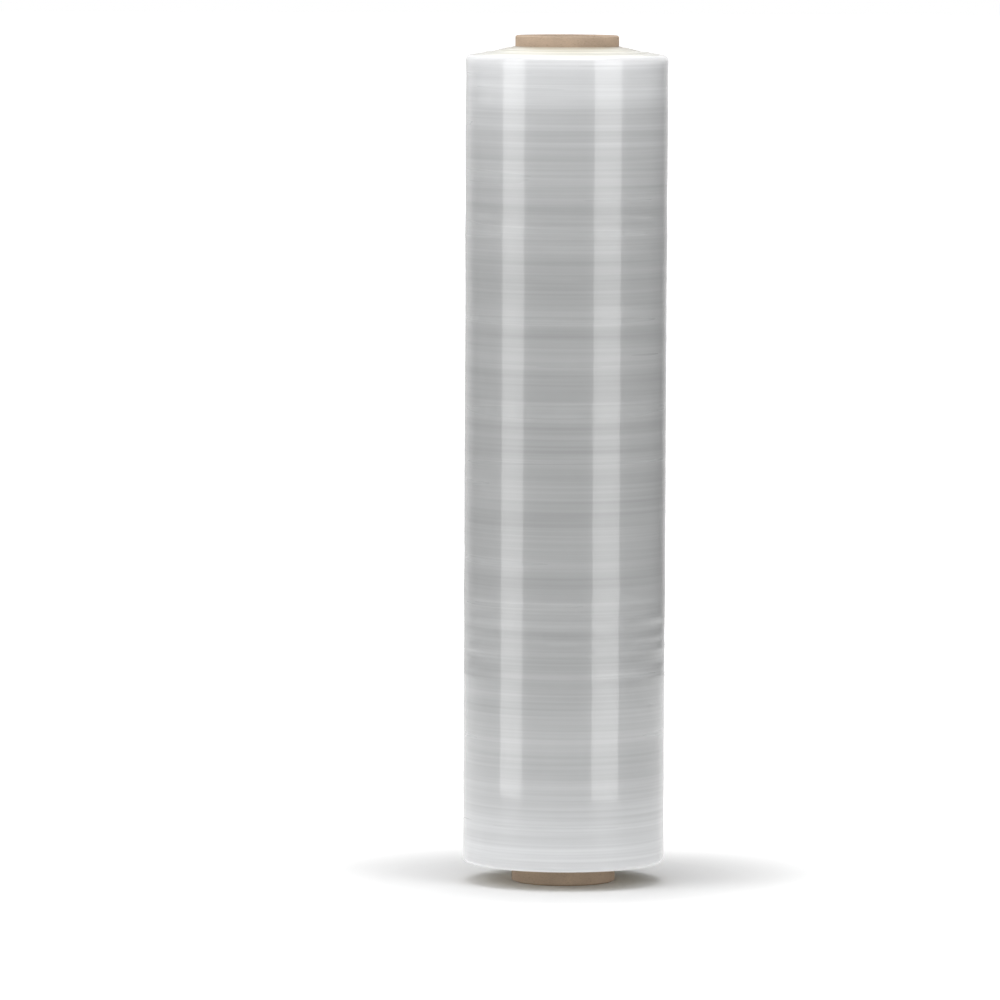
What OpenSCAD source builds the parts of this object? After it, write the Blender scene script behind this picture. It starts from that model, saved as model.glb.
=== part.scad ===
// Stretch wrap roll: clear film wound on a spiral-wound paper core, standing on its end.
// The origin is the middle of the core's lower rim, and +Z runs up along the core's axis.

/* [Paper core] */
// Bore of the core, which a wrapping spindle goes through
core_bore_d = 51; // [38:0.5:77]
// Wall of the core
core_wall = 6.5; // [3:0.5:10]
// How far the core stands out past the film's outermost turns at each end
core_proud = 12; // [8.5:0.5:30]
// Bevel that the saw and the handling leave on the rims of the core
core_bevel = 0.8; // [0.2:0.1:1.4]

/* [Film] */
// Width of the film
film_w = 500; // [250:5:600]
// Diameter of the full winding
film_od = 125; // [108:1:180]
// Rounding of the winding's outer corners
shoulder_r = 3; // [1:0.25:4.5]

/* [Winding] */
// Thickness of the outermost turns, which are wound with their edges flush
flush_t = 5; // [4.5:0.25:8]
// Thickness of one bundle of the turns further in, whose edges stray as one
bundle_t = 2.2; // [1.8:0.1:4]
// How far the innermost turns have crept up the core past the flush ones
creep = 5.2; // [1:0.1:6.6]
// How far a bundle strays up or down from its neighbours
stray = 0.3; // [0:0.05:0.6]
// Width of the slope from one bundle's edges to the next one's
slope_w = 0.6; // [0.2:0.1:1.2]
// Spacing of the gauge bands, the hoops of thick and thin film along the barrel
band_pitch = 20; // [12:1:60]
// How far the barrel sinks in at the thinnest band
band_sink = 0.35; // [0:0.05:0.8]

/* [Hidden] */

core_r = core_bore_d / 2 + core_wall;
core_len = film_w + 2 * core_proud;
film_r = film_od / 2;
flush_r = film_r - flush_t;

// The bundles share the space between the core and the flush turns
bundles = round((flush_r - core_r) / bundle_t);
bundle_step = (flush_r - core_r) / bundles;
bundle_stray = rands(-stray, stray, bundles, 23);

// The bands share the straight part of the barrel
straight_len = film_w - 2 * shoulder_r;
bands = round(straight_len / band_pitch);
band_step = straight_len / bands;
sinks = rands(0, band_sink, bands, 11);

round_fn = 64;
corner_steps = 4;

// How far bundle i has moved up the core: steadily more towards the middle, and a little off that
function lift(i) = creep * (1 - (i + 0.5) / bundles) + bundle_stray[i];

// The end of the winding at height z, from the core out to the flush turns: a flat for each
// bundle's edges, and a slope to the next
function end_steps(z) = [for (i = [0:bundles - 1]) each [
    [core_r + i * bundle_step + (i > 0 ? slope_w / 2 : 0), z + lift(i)],
    [core_r + (i + 1) * bundle_step - slope_w / 2, z + lift(i)]]];

// A rounded corner of the half section, turning a quarter left from angle a about [x, y]
function corner(x, y, a) =
    [for (i = [0:corner_steps]) [x, y]
        + shoulder_r * [cos(a + 90 * i / corner_steps), sin(a + 90 * i / corner_steps)]];

function reversed(points) = [for (i = [len(points) - 1:-1:0]) points[i]];

module core_tube() {
    color("burlywood")
    rotate_extrude($fn = round_fn)
    translate([core_bore_d / 2, 0])
    polygon([
        [core_bevel, 0], [core_wall - core_bevel, 0],
        [core_wall, core_bevel], [core_wall, core_len - core_bevel],
        [core_wall - core_bevel, core_len], [core_bevel, core_len],
        [0, core_len - core_bevel], [0, core_bevel]]);
}

// The whole winding turns about the core from one half section: the strayed edges of the bundles
// at both ends, soft outer corners, and a barrel that waves with the gauge bands
module film_winding() {
    corner_r = film_r - shoulder_r;
    barrel = [for (i = [0:bands - 1]) [film_r - sinks[i], shoulder_r + (i + 0.5) * band_step]];
    color("gainsboro")
    translate([0, 0, core_proud])
    rotate_extrude($fn = round_fn)
    polygon(concat(
        end_steps(0), [[flush_r + slope_w / 2, 0]],
        corner(corner_r, shoulder_r, -90),
        barrel,
        corner(corner_r, film_w - shoulder_r, 0),
        [[flush_r + slope_w / 2, film_w]], reversed(end_steps(film_w))));
}

core_tube();
film_winding();
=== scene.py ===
"""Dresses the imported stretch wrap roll: clear film wound on a brown paper core.

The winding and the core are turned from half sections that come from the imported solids. Fine hoops,
turn edges and paper plies are added to them, and a pale studio and a camera are set up round them.
"""

import math

import bpy
import numpy as np
from bpy.props import FloatProperty, FloatVectorProperty, IntProperty, PointerProperty
from mathutils import Matrix, Vector


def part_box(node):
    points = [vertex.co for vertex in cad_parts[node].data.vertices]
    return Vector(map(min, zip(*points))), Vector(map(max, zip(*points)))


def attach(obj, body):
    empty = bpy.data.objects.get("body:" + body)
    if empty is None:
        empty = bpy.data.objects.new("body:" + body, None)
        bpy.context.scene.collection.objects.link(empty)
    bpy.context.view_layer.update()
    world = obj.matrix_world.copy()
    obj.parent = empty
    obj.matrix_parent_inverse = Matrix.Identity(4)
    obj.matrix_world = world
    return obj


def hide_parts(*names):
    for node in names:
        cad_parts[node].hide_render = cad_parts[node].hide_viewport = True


bl_info = {
    "name": "Stretch wrap roll",
    "version": (1, 0, 0),
    "blender": (4, 5, 0),
    "location": "3D View > Sidebar > Wrap Roll",
    "description": "Winds clear film on a paper core and sets it in a pale studio",
    "category": "Object",
}

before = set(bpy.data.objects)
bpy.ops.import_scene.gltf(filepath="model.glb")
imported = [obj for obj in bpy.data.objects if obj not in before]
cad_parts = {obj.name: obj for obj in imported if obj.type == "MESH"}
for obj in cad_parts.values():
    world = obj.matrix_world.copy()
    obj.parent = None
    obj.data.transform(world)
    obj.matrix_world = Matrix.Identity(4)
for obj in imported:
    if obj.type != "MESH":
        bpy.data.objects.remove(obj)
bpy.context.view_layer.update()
CORE_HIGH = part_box("core_tube")[1]
FILM_LOW, FILM_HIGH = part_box("film_winding")

MM = 0.001
TURN = 2 * math.pi
# Two heights or radii closer than this are the same
TOUCH = 0.01 * MM
BODY = "root"
# Sockets of a Mix node that mixes colours
MIX_FIRST, MIX_SECOND, MIX_RESULT = 6, 7, 2

CORE_R = CORE_HIGH.x
CORE_TOP = CORE_HIGH.z
FILM_R = FILM_HIGH.x

# Wavelengths of the unevenness along the barrel, how often its lobes repeat round it, and seeds
HOOP_WAVES, HOOP_SEED = (41 * MM, 17.3 * MM, 9.1 * MM, 6.3 * MM), 41
LOBE_WAVES, LOBE_SEED = (160 * MM, 47 * MM, 21 * MM, 12 * MM), 53
LOBE_COUNTS = (2, 3, 5, 7)
# The same from turn to turn on the ends of the winding
TURN_WAVES, TURN_SEED = (1.6 * MM, 2.7 * MM, 4.3 * MM), 31
STRAY_WAVES, STRAY_SEED = (2.9 * MM, 5.1 * MM, 9.7 * MM), 37
STRAY_COUNTS = (1, 2, 3)
# The same on the core's sawn rims
SAW_WAVES, SAW_SEED = (1.3 * MM, 3.7 * MM), 67
SAW_COUNTS = (5, 13, 29)
# How far round, in radians, a lobe turns as it goes along
LOBE_DRIFT = 1.5

# Coarse and fine grain, each as streaks per metre along X, Y and Z
HOOP_GRAIN = ((3.0, 3.0, 90.0), (5.0, 5.0, 620.0))
SWAY_GRAIN = ((2.0, 2.0, 9.0), (4.0, 4.0, 60.0))
MOTTLE_GRAIN = ((50.0, 50.0, 90.0), (1500.0, 1500.0, 3600.0))
FIBRE_GRAIN = ((520.0, 520.0, 1900.0), (900.0, 900.0, 3000.0))
# The same outwards across the winding's ends
EDGE_GRAIN = (420.0, 2700.0)
# Octaves of the coarse and the fine noise, and the values that most of a noise lies between
STREAK_DETAIL = {"Coarse": 1.5, "Fine": 2.5}
NOISE_LOW, NOISE_HIGH = 0.3, 0.7
# What the coarse and the fine grain of a material scale its colour by
HOOP_TONES = ((0.91, 1.09), (0.95, 1.05))
EDGE_TONES = ((0.88, 1.08), (0.91, 1.06))
PAPER_TONES = ((0.93, 1.07), (0.94, 1.06))
# Roughness from one end of a grain to the other
HOOP_ROUGH = (0.33, 0.27)
EDGE_ROUGH = (0.5, 0.3)
PAPER_ROUGH = (0.78, 0.9)
# Strength and height of the bumps
HOOP_BUMP = (0.5, 0.035 * MM)
EDGE_BUMP = (0.6, 0.12 * MM)
PAPER_BUMP = (0.7, 0.08 * MM)
# The rest of each finish, by sockets of the Principled shader
BARREL_FINISH = {"Coat Weight": 1.0, "Coat Roughness": 0.06, "Coat IOR": 1.5}
EDGE_FINISH = {
    "Coat Weight": 0.8, "Coat Roughness": 0.2, "Sheen Weight": 0.7, "Sheen Roughness": 0.35,
}
PAPER_FINISH = {"Specular IOR Level": 0.25}
# How far the loose end sways, the half width of its line, and how much of the light the line keeps
TAIL_SWAY, TAIL_SHIVER = 1.2 * MM, 0.3 * MM
TAIL_CORE, TAIL_EDGE, TAIL_TONE = 0.1 * MM, 0.6 * MM, 0.8
# Its step up, as a multiple of the fine hoops, and where round the roll the step fades out
TAIL_STEP, TAIL_FADE = 0.9, (20 * MM, 60 * MM)
# Where the noise turns into flecks in the paper, and how dark flecks, seams and gaps are
FLECK_FROM, FLECK_TO, FLECK_DARK = 0.60, 0.74, 0.42
SEAM_DARK, GAP_DARK = 0.45, 0.4
# Depth of a wholly dark seam or gap, as a multiple of the fibres
DARK_DEPTH = 3.0
# The gaps between the plies show down to this depth below the rims
RIM_DEPTH = 0.4 * MM

CORNER_STEPS = 8
# How much of the rounded corners has the ends' finish
CORNER_SHARE = 0.25
# The barrel's hoops grow from nothing over this height at both ends
FADE_HEIGHT = 110 * MM
RINGS_PER_PLY = 4
CORE_RINGS = 40
SHARP_ANGLE = math.radians(35)

FRAME_PX = 1000.0
SENSOR_MM = 36.0
FLOOR_SIZE = 60.0
WHITE = (1.0, 1.0, 1.0, 1.0)
FLOOR_FINISH = {
    "Base Color": (0.86, 0.86, 0.86, 1.0), "Roughness": 0.9, "Specular IOR Level": 0.0,
    "Emission Color": WHITE,
}

# Angles, in degrees to the right, of the barrel's surface where it mirrors the edges of each strip
LEFT_STRIP = (-39.2, -24.8)
RIGHT_STRIP = (15.7, 32.5)
# How far from the barrel the strips stand, and the heights of their ends
STRIP_REACH = 0.35
STRIP_LOW, STRIP_HIGH = 0.01, 0.75
OVERHEAD_AT, OVERHEAD_SIZE = (0.0, -0.2, 1.9), 1.4
FILL_AT, FILL_SIZE = (-1.4, -1.2, 1.3), 1.0
BACK_AT, BACK_SIZE = (0.0, 1.6, 1.8), 1.0
LAMP_TARGET = (0.0, 0.0, 0.3)
# The floor is its own colour up to the first distance from the roll, and plain white from the second
SHADOW_REACH = (0.05, 0.34)
# In a mirror the floor is white up to the first distance, and the dim room beyond the second
TABLE_REACH = (1.2, 1.9)
ROOM_LEVEL = 0.15
# Behind the roll, towards this direction, the mirrored floor is pale again
BEHIND = (-0.13, 0.99, 0.0)
BEHIND_FROM, BEHIND_TO = 0.66, 0.93
BEHIND_LEVEL = 0.7


class WrapFilmSettings(bpy.types.PropertyGroup):
    """Sizes and colours of the wound film."""

    segments: IntProperty(
        name="Segments", description="Facets round the winding", default=192, min=48, max=512
    )
    ring_pitch: FloatProperty(
        name="Ring spacing", description="Spacing of mesh rings along the barrel",
        default=2.2 * MM, min=1.0 * MM, max=10 * MM, unit="LENGTH",
    )
    turn_pitch: FloatProperty(
        name="Turn spacing", description="Spacing of the turn edges that show on the ends",
        default=0.4 * MM, min=0.2 * MM, max=3 * MM, unit="LENGTH",
    )
    turn_relief: FloatProperty(
        name="Turn relief", description="How far single turns stand out of the ends",
        default=0.12 * MM, min=0.0, max=0.5 * MM, unit="LENGTH",
    )
    stray_relief: FloatProperty(
        name="Stray relief", description="How far a turn strays up and down on its way round",
        default=0.1 * MM, min=0.0, max=0.5 * MM, unit="LENGTH",
    )
    hoop_relief: FloatProperty(
        name="Hoop relief", description="Height of the fine hoops along the barrel",
        default=0.1 * MM, min=0.0, max=0.5 * MM, unit="LENGTH",
    )
    lobe_relief: FloatProperty(
        name="Lobe relief", description="How far each hoop is out of round",
        default=0.2 * MM, min=0.0, max=0.5 * MM, unit="LENGTH",
    )
    tail_turn: FloatProperty(
        name="Loose end", description="Where the film's loose end lies, in turns from +X",
        default=0.2, min=-0.45, max=0.45,
    )
    barrel_colour: FloatVectorProperty(
        name="Barrel colour", description="Silver grey of many clear turns seen side on",
        default=(0.375, 0.381, 0.382), size=3, min=0.0, max=1.0, subtype="COLOR",
    )
    # Painted glow: the barrel's colour is lighter near the ends, standing in for light that leaks in
    # at the cut edges
    painted_glow_colour: FloatVectorProperty(
        name="Glow colour", description="Barrel near the ends, where light leaks in at the cut edges",
        default=(0.72, 0.73, 0.74), size=3, min=0.0, max=1.0, subtype="COLOR",
    )
    glow_reach: FloatProperty(
        name="Glow reach", description="How far in the light that leaks in falls to about a third",
        default=45 * MM, min=1 * MM, max=250 * MM, unit="LENGTH",
    )
    # Painted highlight: the barrel's colour right by the ends is whitened to stand in for the light
    # that the rounded shoulders catch
    rim_highlight_colour: FloatVectorProperty(
        name="Rim colour", description="Barrel right by the ends, where single turns part",
        default=(0.90, 0.90, 0.91), size=3, min=0.0, max=1.0, subtype="COLOR",
    )
    # Reach of the painted highlight by the ends
    rim_highlight_reach: FloatProperty(
        name="Rim reach", description="How far in the whiter rims fall to about a third",
        default=3.5 * MM, min=0.5 * MM, max=20 * MM, unit="LENGTH",
    )
    inner_edge_colour: FloatVectorProperty(
        name="Inner edge colour", description="Turn edges next to the core",
        default=(0.57, 0.51, 0.385), size=3, min=0.0, max=1.0, subtype="COLOR",
    )
    middle_edge_colour: FloatVectorProperty(
        name="Middle edge colour", description="Turn edges halfway out",
        default=(0.75, 0.73, 0.615), size=3, min=0.0, max=1.0, subtype="COLOR",
    )
    outer_edge_colour: FloatVectorProperty(
        name="Outer edge colour", description="Turn edges at the outside of the ends",
        default=(0.86, 0.85, 0.79), size=3, min=0.0, max=1.0, subtype="COLOR",
    )


class WrapCoreSettings(bpy.types.PropertyGroup):
    """Sizes and colours of the paper core."""

    segments: IntProperty(
        name="Segments", description="Facets round the core", default=160, min=48, max=512
    )
    plies: IntProperty(
        name="Plies", description="Layers of paper that show on the rims", default=9, min=3, max=20
    )
    ply_relief: FloatProperty(
        name="Ply relief", description="Depth of the grooves between the plies on the rims",
        default=0.1 * MM, min=0.0, max=0.5 * MM, unit="LENGTH",
    )
    saw_relief: FloatProperty(
        name="Saw relief", description="Unevenness that the saw left on the rims",
        default=0.15 * MM, min=0.0, max=0.5 * MM, unit="LENGTH",
    )
    ply_width: FloatProperty(
        name="Ply width", description="Width of the paper strip that the core is wound from",
        default=100 * MM, min=20 * MM, max=200 * MM, unit="LENGTH",
    )
    seam_width: FloatProperty(
        name="Seam width", description="Gap between neighbouring turns of the outer ply",
        default=0.7 * MM, min=0.1 * MM, max=3 * MM, unit="LENGTH",
    )
    paper_colour: FloatVectorProperty(
        name="Paper colour", description="Face of the brown paper",
        default=(0.565, 0.435, 0.330), size=3, min=0.0, max=1.0, subtype="COLOR",
    )
    fleck_colour: FloatVectorProperty(
        name="Fleck colour", description="Dark fibres and gaps in the paper",
        default=(0.31, 0.22, 0.15), size=3, min=0.0, max=1.0, subtype="COLOR",
    )


class WrapStudioSettings(bpy.types.PropertyGroup):
    """Camera and light."""

    lens: FloatProperty(
        name="Lens", description="Focal length on a 36 mm sensor", default=288.0, min=35.0, max=600.0
    )
    distance: FloatProperty(
        name="Distance", description="From the camera to the middle of the roll",
        default=4.95, min=0.5, max=20.0, unit="LENGTH",
    )
    pitch: FloatProperty(
        name="Pitch", description="How far the camera looks down",
        default=math.radians(4.5), min=-1.5, max=1.5, subtype="ANGLE",
    )
    lean: FloatProperty(
        name="Lean", description="How far the roll leans to the right in the frame",
        default=math.radians(0.25), min=-0.1, max=0.1, subtype="ANGLE",
    )
    aim_across: FloatProperty(
        name="Aim across", description="Pixels from the frame's left edge to the middle of the roll",
        default=565.0, min=0.0, max=1000.0,
    )
    aim_down: FloatProperty(
        name="Aim down", description="Pixels from the frame's top edge to the middle of the roll",
        default=458.9, min=0.0, max=1000.0,
    )
    left_strip: FloatProperty(
        name="Left strip", description="Radiance of the strip lamp on the left",
        default=2.25, min=0.0, max=20.0,
    )
    right_strip: FloatProperty(
        name="Right strip", description="Radiance of the strip lamp on the right",
        default=2.3, min=0.0, max=20.0,
    )
    overhead: FloatProperty(
        name="Overhead", description="Radiance of the lamp above the roll",
        default=2.6, min=0.0, max=20.0,
    )
    left_fill: FloatProperty(
        name="Left fill", description="Radiance of the soft lamp high on the left",
        default=0.8, min=0.0, max=20.0,
    )
    back_fill: FloatProperty(
        name="Back fill", description="Radiance of the soft lamp high behind the roll",
        default=1.6, min=0.0, max=20.0,
    )
    soft_left: FloatProperty(
        name="Soft left", description="Strength of the soft light from the far left",
        default=0.46, min=0.0, max=2.0,
    )
    soft_right: FloatProperty(
        name="Soft right", description="Strength of the soft light from the far right",
        default=0.0, min=0.0, max=2.0,
    )


# Unevenness that follows a rule


def wave(x, wavelengths, seed):
    """A smooth wave from -1 to 1 along x: one sine for each wavelength, each with its own start."""
    starts = np.random.default_rng(seed).uniform(0, TURN, len(wavelengths))
    sines = [np.sin(TURN * x / length + start) for length, start in zip(wavelengths, starts)]
    return sum(sines) / len(wavelengths)


def lobes(x, angles, counts, wavelengths, seed):
    """A wave from -1 to 1 round each place x: a few lobes that grow, shrink and turn along x."""
    total = np.zeros((len(x), len(angles)))
    for i, count in enumerate(counts):
        size = wave(x, wavelengths, seed + 2 * i)[:, None]
        shift = LOBE_DRIFT * wave(x, wavelengths, seed + 2 * i + 1)[:, None]
        total += size * np.cos(count * angles[None, :] + shift + i)
    return total / len(counts)


# Half sections and turned meshes


def half_section(node):
    """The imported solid's corners as (radius, height) rows in metres, each once."""
    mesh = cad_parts[node].data
    flat = np.zeros(len(mesh.vertices) * 3)
    mesh.vertices.foreach_get("co", flat)
    x, y, z = flat.reshape(-1, 3).T
    return np.unique(np.round(np.stack([np.hypot(x, y), z], 1), 6), axis=0)


def sorted_by(rows, column):
    """The rows in the order of one column."""
    return rows[np.argsort(rows[:, column])]


def ring_angles(segments):
    """Where the corners of a ring lie about the axis."""
    return np.linspace(0, TURN, segments, endpoint=False)


def quarter(centre_r, centre_z, radius, start):
    """Points of a quarter circle that turns left from the angle start, in degrees."""
    angles = np.radians(start) + np.linspace(0, math.pi / 2, CORNER_STEPS + 1)
    return [(centre_r + radius * math.cos(a), centre_z + radius * math.sin(a)) for a in angles]


def turned(name, rings, segments):
    """A closed mesh turned about Z. Each ring is its radius and height, as one number for the whole
    ring or one for each of its corners."""
    angles = ring_angles(segments)
    radii = np.array([np.broadcast_to(r, segments) for r, z in rings])
    heights = np.array([np.broadcast_to(z, segments) for r, z in rings])
    verts = np.stack([radii * np.cos(angles), radii * np.sin(angles), heights], 2).reshape(-1, 3)
    faces = []
    for i in range(len(rings)):
        low, high = i * segments, (i + 1) % len(rings) * segments
        for j in range(segments):
            k = (j + 1) % segments
            faces.append((low + j, low + k, high + k, high + j))
    mesh = bpy.data.meshes.new(name)
    mesh.from_pydata(verts.tolist(), [], faces)
    mesh.validate()
    mesh.shade_smooth()
    piece = bpy.data.objects.new(name, mesh)
    bpy.context.scene.collection.objects.link(piece)
    return piece


def dress(piece, node):
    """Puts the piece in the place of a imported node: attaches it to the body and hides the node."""
    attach(piece, BODY)
    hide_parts(node)


# Shader nodes


def fill_sockets(tree, node, inputs):
    """Sets the node's inputs to values, or links them where a socket is given."""
    for name, value in inputs.items():
        if isinstance(value, bpy.types.NodeSocket):
            tree.links.new(value, node.inputs[name])
        else:
            node.inputs[name].default_value = value


def add_node(tree, kind, inputs=None, **settings):
    """A new node of that kind, with its settings and its inputs."""
    node = tree.nodes.new(kind)
    for name, value in settings.items():
        setattr(node, name, value)
    fill_sockets(tree, node, inputs or {})
    return node


def maths(tree, operation, *values):
    """The output of a Math node with these values or sockets."""
    return add_node(tree, "ShaderNodeMath", dict(enumerate(values)), operation=operation).outputs[0]


def vector_maths(tree, operation, inputs):
    """A Vector Math node with these inputs."""
    return add_node(tree, "ShaderNodeVectorMath", inputs, operation=operation)


def ramp(tree, value, low, high, start=0.0, end=1.0):
    """value from low to high, taken smoothly to start to end."""
    inputs = {"Value": value, "From Min": low, "From Max": high, "To Min": start, "To Max": end}
    return add_node(tree, "ShaderNodeMapRange", inputs, interpolation_type="SMOOTHSTEP").outputs[0]


def spread(tree, noise, start, end):
    """The noise spread from start to end."""
    return ramp(tree, noise, NOISE_LOW, NOISE_HIGH, start, end)


def toned(tree, coarse, fine, tones):
    """What the coarse and the fine noise together scale a colour by."""
    return maths(tree, "MULTIPLY", spread(tree, coarse, *tones[0]), spread(tree, fine, *tones[1]))


def blend_colour(tree, factor, first, second):
    """first where factor is 0 and second where it is 1."""
    node = add_node(tree, "ShaderNodeMix", data_type="RGBA")
    fill_sockets(tree, node, {"Factor": factor, MIX_FIRST: first, MIX_SECOND: second})
    return node.outputs[MIX_RESULT]


def scaled(tree, colour, factor):
    """The colour times the factor."""
    return vector_maths(tree, "SCALE", {0: colour, "Scale": factor}).outputs[0]


def stretched(tree, scale):
    """The place in the object, times scale along each axis."""
    place = add_node(tree, "ShaderNodeTexCoord")
    return vector_maths(tree, "MULTIPLY", {0: place.outputs["Object"], 1: scale}).outputs[0]


def add_bump(tree, shader, height, bump):
    """Tilts the shader's normal by the slope of height, with the bump's strength and height."""
    strength, distance = bump
    node = add_node(
        tree, "ShaderNodeBump", {"Height": height, "Strength": strength, "Distance": distance}
    )
    tree.links.new(node.outputs["Normal"], shader.inputs["Normal"])


def start_group(name, inputs, outputs):
    """An empty shader node group with these named sockets, and its input and output nodes."""
    group = bpy.data.node_groups.new(name, "ShaderNodeTree")
    for in_out, sockets in (("INPUT", inputs), ("OUTPUT", outputs)):
        for label, kind in sockets.items():
            group.interface.new_socket(label, in_out=in_out, socket_type=kind)
    return group, group.nodes.new("NodeGroupInput"), group.nodes.new("NodeGroupOutput")


def streak_group():
    """Coarse and fine streaks, long where a place changes slowly and short where it changes fast."""
    group, enter, leave = start_group(
        "Streaks",
        {"Coarse Place": "NodeSocketVector", "Fine Place": "NodeSocketVector"},
        {"Coarse": "NodeSocketFloat", "Fine": "NodeSocketFloat"},
    )
    for grain, detail in STREAK_DETAIL.items():
        inputs = {"Vector": enter.outputs[grain + " Place"], "Scale": 1.0, "Detail": detail}
        noise = add_node(group, "ShaderNodeTexNoise", inputs)
        group.links.new(noise.outputs["Fac"], leave.inputs[grain])
    return group


def polar_group():
    """Distance from the roll's axis, angle about it in turns from +X, and height, of each point."""
    group, enter, leave = start_group(
        "Polar Place", {}, {name: "NodeSocketFloat" for name in ("Radius", "Turn", "Height")}
    )
    place = add_node(group, "ShaderNodeTexCoord").outputs["Object"]
    parts = add_node(group, "ShaderNodeSeparateXYZ", {"Vector": place})
    flat = vector_maths(group, "MULTIPLY", {0: place, 1: (1.0, 1.0, 0.0)})
    radius = vector_maths(group, "LENGTH", {0: flat.outputs[0]}).outputs["Value"]
    angle = maths(group, "ARCTAN2", parts.outputs["Y"], parts.outputs["X"])
    group.links.new(radius, leave.inputs["Radius"])
    group.links.new(maths(group, "DIVIDE", angle, TURN), leave.inputs["Turn"])
    group.links.new(parts.outputs["Z"], leave.inputs["Height"])
    return group


GROUP_BUILDERS = {"Streaks": streak_group, "Polar Place": polar_group}


def place_group(tree, name, inputs=None):
    """A node that places the group of that name, which is built when it is first asked for."""
    node = add_node(tree, "ShaderNodeGroup")
    node.node_tree = bpy.data.node_groups.get(name) or GROUP_BUILDERS[name]()
    fill_sockets(tree, node, inputs or {})
    return node


def streaks(tree, grain):
    """The coarse and the fine streaks of that grain on the object."""
    coarse, fine = (stretched(tree, scale) for scale in grain)
    return place_group(tree, "Streaks", {"Coarse Place": coarse, "Fine Place": fine}).outputs


def start_material(name, finish):
    """A material of that finish, its node tree and its Principled shader."""
    material = bpy.data.materials.new(name)
    material.use_nodes = True
    tree = material.node_tree
    shader = tree.nodes["Principled BSDF"]
    fill_sockets(tree, shader, finish)
    return material, tree, shader


# Materials of the roll


def past_tail(tree, film, turn):
    """How far round the barrel a place is past the loose end, which sways a little on its way up."""
    sway = streaks(tree, SWAY_GRAIN)
    swayed = maths(
        tree, "ADD", spread(tree, sway["Coarse"], -TAIL_SWAY, TAIL_SWAY),
        spread(tree, sway["Fine"], -TAIL_SHIVER, TAIL_SHIVER),
    )
    turns = maths(tree, "SUBTRACT", turn, film.tail_turn)
    return maths(tree, "ADD", maths(tree, "MULTIPLY", turns, TURN * FILM_R), swayed)


def near_end(tree, from_end, reach):
    """1 at the barrel's ends, falling to about a third at reach from them."""
    return maths(tree, "EXPONENT", maths(tree, "DIVIDE", from_end, -reach))


def barrel_material(film, low, high):
    """Many clear turns seen side on: silver grey and glossy, with hoops of thick and thin film, a
    painted glow and a painted highlight near both ends, which lie at the heights low and high, and
    the film's loose end."""
    material, tree, shader = start_material("film_barrel", BARREL_FINISH)
    polar = place_group(tree, "Polar Place").outputs
    height = polar["Height"]
    hoops = streaks(tree, HOOP_GRAIN)
    from_end = maths(
        tree, "MINIMUM", maths(tree, "SUBTRACT", height, low), maths(tree, "SUBTRACT", high, height)
    )
    # Painted glow: the colour lightens towards both ends, standing in for light that leaks in at the
    # cut edges
    glow = near_end(tree, from_end, film.glow_reach)
    base = blend_colour(tree, glow, (*film.barrel_colour, 1.0), (*film.painted_glow_colour, 1.0))
    # Painted highlight: a whiter colour right by both ends, where the rounded shoulders catch the
    # light
    rim_highlight = near_end(tree, from_end, film.rim_highlight_reach)
    base = blend_colour(tree, rim_highlight, base, (*film.rim_highlight_colour, 1.0))
    past = past_tail(tree, film, polar["Turn"])
    line = ramp(tree, maths(tree, "ABSOLUTE", past), TAIL_CORE, TAIL_EDGE, TAIL_TONE, 1.0)
    tone = toned(tree, hoops["Coarse"], hoops["Fine"], HOOP_TONES)
    colour = scaled(tree, base, maths(tree, "MULTIPLY", tone, line))
    rough = spread(tree, hoops["Coarse"], *HOOP_ROUGH)
    fill_sockets(tree, shader, {"Base Color": colour, "Roughness": rough})
    step = ramp(tree, past, -TAIL_SHIVER, TAIL_SHIVER, 0.0, TAIL_STEP)
    step = maths(tree, "MULTIPLY", step, ramp(tree, past, *TAIL_FADE, 1.0, 0.0))
    add_bump(tree, shader, maths(tree, "ADD", hoops["Fine"], step), HOOP_BUMP)
    return material


def edge_material(film, corner_r):
    """The cut edges of the turns out to corner_r: milky and a little olive, darker by the core."""
    material, tree, shader = start_material("film_edges", EDGE_FINISH)
    polar = place_group(tree, "Polar Place").outputs
    radius = polar["Radius"]
    places = {}
    for name, per_metre in zip(("Coarse Place", "Fine Place"), EDGE_GRAIN):
        inputs = {"X": maths(tree, "MULTIPLY", radius, per_metre), "Z": polar["Height"]}
        places[name] = add_node(tree, "ShaderNodeCombineXYZ", inputs).outputs[0]
    rings = place_group(tree, "Streaks", places).outputs
    half_r = (CORE_R + FILM_R) / 2
    base = blend_colour(
        tree, ramp(tree, radius, CORE_R, half_r),
        (*film.inner_edge_colour, 1.0), (*film.middle_edge_colour, 1.0),
    )
    base = blend_colour(
        tree, ramp(tree, radius, half_r, corner_r), base, (*film.outer_edge_colour, 1.0)
    )
    colour = scaled(tree, base, toned(tree, rings["Coarse"], rings["Fine"], EDGE_TONES))
    rough = spread(tree, rings["Fine"], *EDGE_ROUGH)
    fill_sockets(tree, shader, {"Base Color": colour, "Roughness": rough})
    add_bump(tree, shader, rings["Fine"], EDGE_BUMP)
    return material


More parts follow.
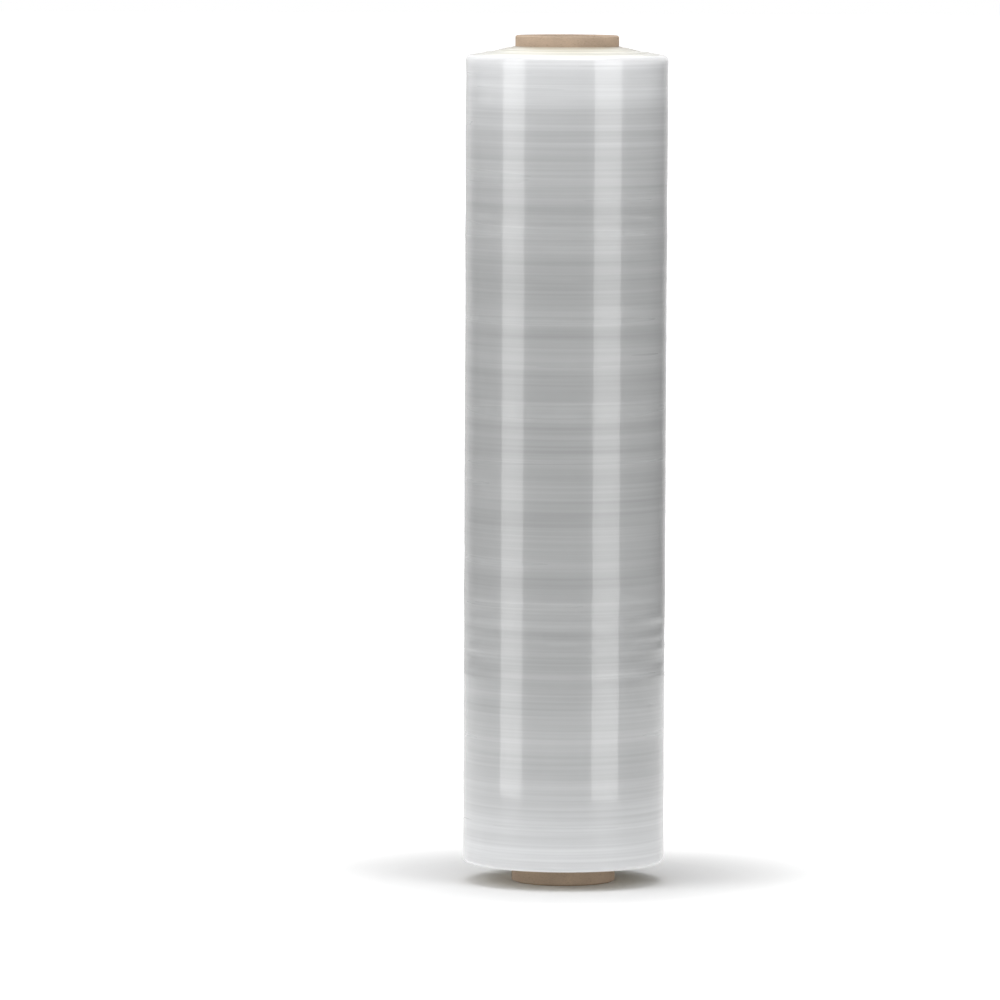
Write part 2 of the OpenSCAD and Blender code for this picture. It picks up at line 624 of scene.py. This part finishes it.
def paper_material(core, bore_r):
    """Brown kraft paper wound in a spiral round a bore: mottled, with dark flecks, a seam and dark
    gaps between the plies on the rims."""
    material, tree, shader = start_material("core_paper", PAPER_FINISH)
    polar = place_group(tree, "Polar Place").outputs
    height = polar["Height"]
    around = TURN * CORE_R
    lead = around * core.ply_width / math.sqrt(around ** 2 - core.ply_width ** 2)
    climbed = maths(tree, "DIVIDE", height, lead)
    strip = maths(tree, "FRACT", maths(tree, "SUBTRACT", climbed, polar["Turn"]))
    seam = maths(tree, "LESS_THAN", strip, core.seam_width / core.ply_width)
    mottle = streaks(tree, MOTTLE_GRAIN)
    fibres = streaks(tree, FIBRE_GRAIN)
    flecks = ramp(tree, fibres["Coarse"], FLECK_FROM, FLECK_TO, 0.0, FLECK_DARK)
    base = blend_colour(tree, flecks, (*core.paper_colour, 1.0), (*core.fleck_colour, 1.0))
    # The gaps between plies are dark where the rims are cut across
    wall = CORE_R - bore_r
    across = maths(tree, "DIVIDE", maths(tree, "SUBTRACT", polar["Radius"], CORE_R), wall)
    plies = maths(tree, "COSINE", maths(tree, "MULTIPLY", across, TURN * core.plies))
    from_middle = maths(tree, "ABSOLUTE", maths(tree, "SUBTRACT", height, CORE_TOP / 2))
    on_rim = maths(tree, "GREATER_THAN", from_middle, CORE_TOP / 2 - RIM_DEPTH)
    gaps = maths(tree, "MULTIPLY", on_rim, ramp(tree, plies, 0.0, 1.0, 0.0, GAP_DARK))
    side_seam = maths(tree, "GREATER_THAN", seam, on_rim)
    dark = maths(tree, "MAXIMUM", maths(tree, "MULTIPLY", side_seam, SEAM_DARK), gaps)
    shaded = blend_colour(tree, dark, base, (*core.fleck_colour, 1.0))
    tone = toned(tree, mottle["Coarse"], fibres["Fine"], PAPER_TONES)
    colour = scaled(tree, shaded, tone)
    rough = spread(tree, fibres["Coarse"], *PAPER_ROUGH)
    fill_sockets(tree, shader, {"Base Color": colour, "Roughness": rough})
    relief = maths(tree, "ADD", fibres["Fine"], mottle["Fine"])
    relief = maths(tree, "SUBTRACT", relief, maths(tree, "MULTIPLY", dark, DARK_DEPTH))
    add_bump(tree, shader, relief, PAPER_BUMP)
    return material


# Pieces


def end_rings(film, angles, ends, corner_r):
    """Rings over the winding's two ends from the core outwards, single turns straying up and down:
    their radii, and their heights on the lower and on the upper end."""
    radii = np.arange(CORE_R, corner_r, film.turn_pitch)
    rise = film.turn_relief * wave(radii, TURN_WAVES, TURN_SEED)[:, None]
    stray = lobes(radii, angles, STRAY_COUNTS, STRAY_WAVES, STRAY_SEED)
    rise = rise + film.stray_relief * stray
    middle = (FILM_LOW.z + FILM_HIGH.z) / 2
    lower = sorted_by(ends[ends[:, 1] < middle], 0)
    upper = sorted_by(ends[ends[:, 1] > middle], 0)
    lower_z = np.interp(radii, lower[:, 0], lower[:, 1])[:, None] + rise
    upper_z = np.interp(radii, upper[:, 0], upper[:, 1])[:, None] + rise
    return radii, lower_z, upper_z


def barrel_rings(film, angles, side, low, high):
    """Rings up the barrel between the heights low and high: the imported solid's gauge bands, with
    finer hoops that are a little out of round."""
    count = int((high - low) / film.ring_pitch)
    heights = np.linspace(low, high, count)[1:-1]
    to_corner = np.minimum(heights - low, high - heights)
    fade = np.minimum(1, to_corner / FADE_HEIGHT)[:, None]
    hoops = film.hoop_relief * wave(heights, HOOP_WAVES, HOOP_SEED)[:, None]
    out_of_round = lobes(heights, angles, LOBE_COUNTS, LOBE_WAVES, LOBE_SEED)
    hoops = hoops + film.lobe_relief * out_of_round
    bands = np.interp(heights, side[:, 1], side[:, 0])[:, None]
    return list(zip(bands + fade * hoops, heights))


class WRAP_OT_wind_film(bpy.types.Operator):
    """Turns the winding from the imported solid's half section, with fine hoops and turn edges"""

    bl_idname = "wraproll.wind_film"
    bl_label = "Wind film"

    def execute(self, context):
        film = context.scene.wrap_film
        angles = ring_angles(film.segments)
        points = half_section("film_winding")
        # The rounded corners start where the lower end stops being flat
        corner_r = points[points[:, 1] < FILM_LOW.z + TOUCH, 0].max()
        shoulder_r = FILM_R - corner_r
        side = sorted_by(points[points[:, 0] > corner_r - TOUCH], 1)
        ends = points[points[:, 0] < corner_r - TOUCH]
        low, high = side[0, 1], side[-1, 1]
        straight_low, straight_high = low + shoulder_r, high - shoulder_r
        radii, lower_z, upper_z = end_rings(film, angles, ends, corner_r)
        rings = list(zip(radii, lower_z))
        rings += quarter(corner_r, straight_low, shoulder_r, -90)
        rings += barrel_rings(film, angles, side, straight_low, straight_high)
        rings += quarter(corner_r, straight_high, shoulder_r, 0)
        rings += list(zip(radii[::-1], upper_z[::-1]))
        piece = turned("wound_film", rings, film.segments)
        piece.data.materials.append(barrel_material(film, low, high))
        piece.data.materials.append(edge_material(film, corner_r))
        centres = np.zeros(len(piece.data.polygons) * 3)
        piece.data.polygons.foreach_get("center", centres)
        from_axis = np.hypot(*centres.reshape(-1, 3)[:, :2].T)
        on_end = from_axis < corner_r + CORNER_SHARE * shoulder_r
        piece.data.polygons.foreach_set("material_index", on_end.astype(np.int32))
        dress(piece, "film_winding")
        return {"FINISHED"}


class WRAP_OT_roll_core(bpy.types.Operator):
    """Turns the paper core, with plies and saw marks on its bevelled rims"""

    bl_idname = "wraproll.roll_core"
    bl_label = "Roll core"

    def execute(self, context):
        core = context.scene.wrap_core
        angles = ring_angles(core.segments)
        points = half_section("core_tube")
        bore_r = points[:, 0].min()
        bevel = CORE_R - points[points[:, 1] < TOUCH, 0].max()
        inner, outer = bore_r + bevel, CORE_R - bevel

        radii = np.linspace(inner, outer, core.plies * RINGS_PER_PLY + 1)
        grooves = 0.5 + 0.5 * np.cos(TURN * core.plies * (radii - CORE_R) / (CORE_R - bore_r))
        sawn = 0.5 + 0.5 * lobes(radii, angles, SAW_COUNTS, SAW_WAVES, SAW_SEED)
        depth = core.ply_relief * grooves[:, None] + core.saw_relief * sawn

        side_z = np.linspace(bevel, CORE_TOP - bevel, CORE_RINGS)
        rings = [(bore_r, z) for z in side_z[::-1]]
        rings += list(zip(radii, depth))
        rings += [(CORE_R, z) for z in side_z]
        rings += list(zip(radii[::-1], CORE_TOP - depth[::-1]))
        piece = turned("paper_core", rings, core.segments)
        piece.data.set_sharp_from_angle(angle=SHARP_ANGLE)
        piece.data.materials.append(paper_material(core, bore_r))
        dress(piece, "core_tube")
        return {"FINISHED"}


# Stage


def mirrored_at(surface_deg, reach):
    """Where a level ray gets to that leaves the camera, meets the barrel where its surface is turned
    that far to the right, and travels on by reach."""
    a = math.radians(surface_deg)
    x = FILM_R * math.sin(a) + reach * math.sin(2 * a)
    y = -FILM_R * math.cos(a) - reach * math.cos(2 * a)
    return Vector((x, y, 0.0))


def add_lamp(name, location, target, size, radiance):
    """A rectangular lamp of that size, (width, height), that faces the target."""
    data = bpy.data.lights.new(name, "AREA")
    data.shape = "RECTANGLE"
    data.size, data.size_y = size
    data.energy = radiance * math.pi * size[0] * size[1]
    lamp = bpy.data.objects.new(name, data)
    lamp.location = location
    lamp.rotation_euler = (Vector(target) - Vector(location)).to_track_quat("-Z", "Y").to_euler()
    lamp.visible_camera = False
    bpy.context.scene.collection.objects.link(lamp)


def add_strip(name, edges_deg, radiance):
    """An upright lamp that the barrel mirrors between two angles of its surface."""
    first, last = (mirrored_at(edge, STRIP_REACH) for edge in edges_deg)
    middle = (first + last) / 2
    middle.z = (STRIP_LOW + STRIP_HIGH) / 2
    size = ((last - first).length, STRIP_HIGH - STRIP_LOW)
    add_lamp(name, middle, (0.0, 0.0, middle.z), size, radiance)


def light_world(studio):
    """A world that is white where it is seen straight, in a mirror or through something clear, and
    lights the roll softly, less from the right."""
    world = bpy.data.worlds.new("studio")
    world.use_nodes = True
    tree = world.node_tree
    background = tree.nodes["Background"]
    path = add_node(tree, "ShaderNodeLightPath").outputs
    mirrored = maths(tree, "MAXIMUM", path["Is Glossy Ray"], path["Is Transmission Ray"])
    seen = maths(tree, "MAXIMUM", path["Is Camera Ray"], mirrored)
    place = add_node(tree, "ShaderNodeTexCoord").outputs["Generated"]
    towards = add_node(tree, "ShaderNodeSeparateXYZ", {"Vector": place})
    soft = ramp(tree, towards.outputs["X"], -1.0, 1.0, studio.soft_left, studio.soft_right)
    strength = maths(tree, "MAXIMUM", seen, soft)
    fill_sockets(tree, background, {"Color": WHITE, "Strength": strength})
    bpy.context.scene.world = world


def floor_material():
    """A pale floor that keeps the roll's shadow and is plain white away from it. In a mirror it is
    white near the roll, pale behind it and dim in front, where a table would end. From below it is
    clear, so that the roll's lower end can be seen."""
    material, tree, shader = start_material("pale_floor", FLOOR_FINISH)
    path = add_node(tree, "ShaderNodeLightPath").outputs
    place = add_node(tree, "ShaderNodeTexCoord").outputs["Object"]
    away = vector_maths(tree, "LENGTH", {0: place}).outputs["Value"]
    lift = maths(tree, "MULTIPLY", path["Is Camera Ray"], ramp(tree, away, *SHADOW_REACH))
    fill_sockets(tree, shader, {"Emission Strength": lift})
    behind = vector_maths(tree, "DOT_PRODUCT", {0: place, 1: BEHIND}).outputs["Value"]
    facing = maths(tree, "DIVIDE", behind, away)
    far = ramp(tree, facing, BEHIND_FROM, BEHIND_TO, ROOM_LEVEL, BEHIND_LEVEL)
    near = ramp(tree, away, *TABLE_REACH, 1.0, 0.0)
    strength = maths(tree, "MAXIMUM", near, far)
    mirrored = add_node(tree, "ShaderNodeEmission", {"Color": WHITE, "Strength": strength})
    mix = add_node(
        tree, "ShaderNodeMixShader",
        {0: path["Is Glossy Ray"], 1: shader.outputs[0], 2: mirrored.outputs[0]},
    )
    below = add_node(tree, "ShaderNodeNewGeometry").outputs["Backfacing"]
    clear = add_node(tree, "ShaderNodeBsdfTransparent")
    sided = add_node(
        tree, "ShaderNodeMixShader", {0: below, 1: mix.outputs[0], 2: clear.outputs[0]}
    )
    tree.links.new(sided.outputs[0], tree.nodes["Material Output"].inputs["Surface"])
    return material


def aim_camera(studio):
    """A long lens that puts the roll where it stands in the frame."""
    camera = bpy.data.objects.new("camera", bpy.data.cameras.new("camera"))
    camera.data.lens = studio.lens
    camera.data.sensor_width = SENSOR_MM
    camera.data.clip_end = 2 * FLOOR_SIZE
    forward = Vector((0.0, math.cos(studio.pitch), -math.sin(studio.pitch)))
    up = Vector((0.0, math.sin(studio.pitch), math.cos(studio.pitch)))
    right = Vector((1.0, 0.0, 0.0))
    metres_per_px = studio.distance * SENSOR_MM / studio.lens / FRAME_PX
    across = (studio.aim_across - FRAME_PX / 2) * metres_per_px
    down = (studio.aim_down - FRAME_PX / 2) * metres_per_px
    middle = Vector((0.0, 0.0, CORE_TOP / 2))
    spot = middle - studio.distance * forward - across * right + down * up
    turn = Matrix((right, up, -forward)).transposed().to_4x4()
    lean = Matrix.Rotation(studio.lean, 4, "Z")
    camera.matrix_world = Matrix.Translation(spot) @ turn @ lean
    bpy.context.scene.collection.objects.link(camera)
    bpy.context.scene.camera = camera


class WRAP_OT_set_stage(bpy.types.Operator):
    """Sets a pale floor, two strip lamps, soft light and the camera"""

    bl_idname = "wraproll.set_stage"
    bl_label = "Set stage"

    def execute(self, context):
        studio = context.scene.wrap_studio
        context.scene.view_settings.view_transform = "Standard"
        bpy.ops.mesh.primitive_plane_add(size=FLOOR_SIZE, location=(0.0, 0.0, 0.0))
        floor = context.object
        floor.name = "floor"
        floor.data.materials.append(floor_material())
        light_world(studio)
        add_strip("left_strip", LEFT_STRIP, studio.left_strip)
        add_strip("right_strip", RIGHT_STRIP, studio.right_strip)
        for name, place, size, radiance in (
            ("overhead", OVERHEAD_AT, OVERHEAD_SIZE, studio.overhead),
            ("left_fill", FILL_AT, FILL_SIZE, studio.left_fill),
            ("back_fill", BACK_AT, BACK_SIZE, studio.back_fill),
        ):
            add_lamp(name, place, LAMP_TARGET, (size, size), radiance)
        aim_camera(studio)
        return {"FINISHED"}


class WRAP_PT_roll(bpy.types.Panel):
    """Lists the roll's sizes, colours and light, with a button for each piece"""

    bl_label = "Stretch wrap roll"
    bl_idname = "WRAP_PT_roll"
    bl_space_type = "VIEW_3D"
    bl_region_type = "UI"
    bl_category = "Wrap Roll"

    def draw(self, context):
        scene = context.scene
        for heading, settings, operator in (
            ("Film", scene.wrap_film, WRAP_OT_wind_film),
            ("Core", scene.wrap_core, WRAP_OT_roll_core),
            ("Studio", scene.wrap_studio, WRAP_OT_set_stage),
        ):
            box = self.layout.box()
            box.label(text=heading)
            for name in settings.bl_rna.properties.keys():
                if name not in ("rna_type", "name"):
                    box.prop(settings, name)
            box.operator(operator.bl_idname)


CLASSES = (
    WrapFilmSettings,
    WrapCoreSettings,
    WrapStudioSettings,
    WRAP_OT_wind_film,
    WRAP_OT_roll_core,
    WRAP_OT_set_stage,
    WRAP_PT_roll,
)


def register():
    for cls in CLASSES:
        bpy.utils.register_class(cls)
    bpy.types.Scene.wrap_film = PointerProperty(type=WrapFilmSettings)
    bpy.types.Scene.wrap_core = PointerProperty(type=WrapCoreSettings)
    bpy.types.Scene.wrap_studio = PointerProperty(type=WrapStudioSettings)


def unregister():
    del bpy.types.Scene.wrap_studio
    del bpy.types.Scene.wrap_core
    del bpy.types.Scene.wrap_film
    for cls in reversed(CLASSES):
        bpy.utils.unregister_class(cls)


def main():
    register()
    bpy.ops.wraproll.wind_film()
    bpy.ops.wraproll.roll_core()
    bpy.ops.wraproll.set_stage()


if __name__ == "__main__":
    main()
